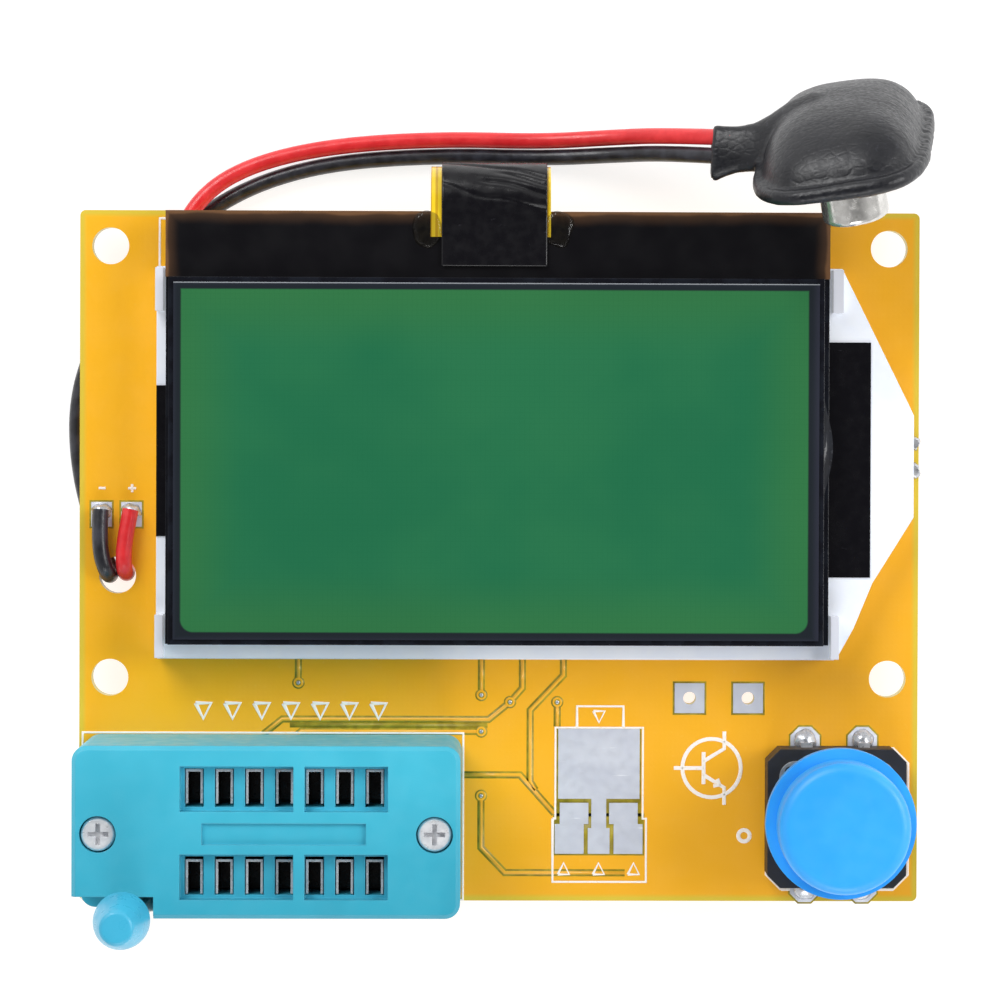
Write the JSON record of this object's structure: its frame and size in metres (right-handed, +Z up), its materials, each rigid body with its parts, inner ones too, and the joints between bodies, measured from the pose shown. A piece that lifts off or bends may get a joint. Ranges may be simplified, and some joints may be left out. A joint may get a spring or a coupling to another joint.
{
  "type": "component tester",
  "caption": "Bare circuit board with a green graphic display, a lever-operated test socket, bare test pads, a round push button and a battery clip with loose wires.",
  "frame": {"origin": "on the table, under the middle of the bounding box of everything but the wires and the battery snap; X=0 is the board's middle", "axes": "+X along the board's long side, from the test socket's end to the button's; +Y across the board, away from the socket and the button; +Z up from the table"},
  "size_m": [0.0752, 0.0737, 0.0266],
  "materials": {
    "circuit_board": "glossy solder mask over glass fibre",
    "tinned": "satin tin",
    "white_film": "matt white film",
    "clear_acrylic": "polished, milky",
    "lamp_body": "matt",
    "polarizer": "satin film",
    "display_glass": "polished",
    "silicon": "polished",
    "black_tape": "satin tape",
    "polyimide": "glossy film",
    "socket_plastic": "moulded satin",
    "slider_plastic": "moulded satin",
    "plated_steel": "nickel plated",
    "knob_plastic": "moulded gloss",
    "black_plastic": "moulded matt",
    "cap_plastic": "moulded satin",
    "ceramic_black": "matt ceramic",
    "ceramic_tan": "matt ceramic",
    "wire_red": "satin insulation",
    "wire_black": "satin insulation",
    "vinyl": "leather grain vinyl",
    "fibre_board": "pressed fibre",
    "nickel": "nickel plated"
  },
  "bodies": {
    "tester": {"circuit_board": "circuit_board", "smd_test_pads": "tinned", "square_test_pads": "tinned", "backlight_reflector": "white_film", "backlight_guide": "clear_acrylic", "backlight_led": "lamp_body", "backlight_leads": "tinned", "lcd_rear_polarizer": "polarizer", "lcd_rear_glass": "display_glass", "lcd_front_glass": "display_glass", "lcd_front_polarizer": "polarizer", "lcd_driver_chip": "silicon", "lcd_ledge_tape": "black_tape", "lcd_flex_cable": "polyimide", "lcd_flex_tape": "black_tape", "lcd_left_tape": "black_tape", "lcd_right_tape": "black_tape", "zif_base": "socket_plastic", "zif_cover": "socket_plastic", "zif_contacts": "tinned", "zif_screws": "plated_steel", "switch_housing": "black_plastic", "switch_cover_plate": "plated_steel", "switch_dome": "plated_steel", "switch_terminals": "tinned", "microcontroller": "black_plastic", "microcontroller_leads": "tinned", "crystal": "plated_steel", "voltage_regulator": "black_plastic", "voltage_reference": "black_plastic", "transistors": "black_plastic", "chip_resistors": "ceramic_black", "chip_capacitors": "ceramic_tan", "zif_solder_joints": "tinned", "switch_solder_joints": "tinned", "wire_solder_joints": "tinned", "battery_wire_red": "wire_red", "battery_wire_black": "wire_black", "snap_cover": "vinyl", "snap_board": "fibre_board", "snap_rivets": "nickel", "snap_stud": "nickel", "snap_socket": "nickel"},
    "lever": {"zif_lever": "plated_steel", "zif_lever_knob": "knob_plastic"},
    "slider": {"zif_slider": "slider_plastic"},
    "button": {"button_cap": "cap_plastic", "switch_plunger": "black_plastic"}
  },
  "joints": [
    {"name": "lever_turn", "type": "hinge", "parent": "tester", "child": "lever", "pos_m": [-0.03115, -0.02405, 0.0106], "axis": [0, -1, 0], "range_deg": [0, 90]},
    {"name": "slider_slide", "type": "slide", "parent": "tester", "child": "slider", "axis": [1, 0, 0], "range_m": [0, 0.001]},
    {"name": "button_press", "type": "slide", "parent": "tester", "child": "button", "axis": [0, 0, -1], "range_m": [0, 0.00035], "stiffness_N_per_m": 2500, "deforming": ["switch_dome"]}
  ],
  "couplings": [
    {"joint": "slider_slide", "follows": "lever_turn", "m_per_rad": 0.000636}
  ]
}
